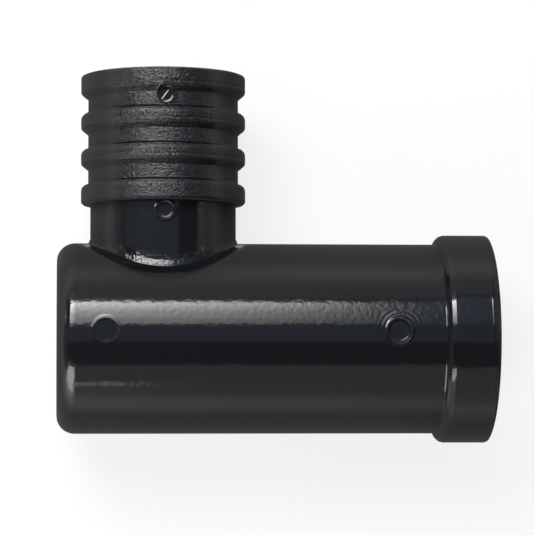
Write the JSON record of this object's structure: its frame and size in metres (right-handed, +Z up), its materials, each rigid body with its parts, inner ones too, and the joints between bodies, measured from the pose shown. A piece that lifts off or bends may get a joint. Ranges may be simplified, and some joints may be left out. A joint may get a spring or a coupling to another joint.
{
  "type": "female threaded elbow",
  "caption": "Moulded black plastic elbow with a closed body, a collared female thread at its mouth and a ribbed hose spigot at a right angle to it.",
  "frame": {"origin": "centre of the threaded mouth, on the plane of its rim", "axes": "+X along the body's axis, out of the threaded mouth; +Y along the spigot's axis, out of its rim; +Z up when the elbow lies on its side with the marks of the ejector pins uppermost"},
  "size_m": [0.0716, 0.0609, 0.0346],
  "materials": {
    "moulded_plastic": "glossy on the body, spark-eroded satin on the ribs"
  },
  "bodies": {
    "root": {"threaded_elbow": "moulded_plastic"}
  },
  "joints": []
}
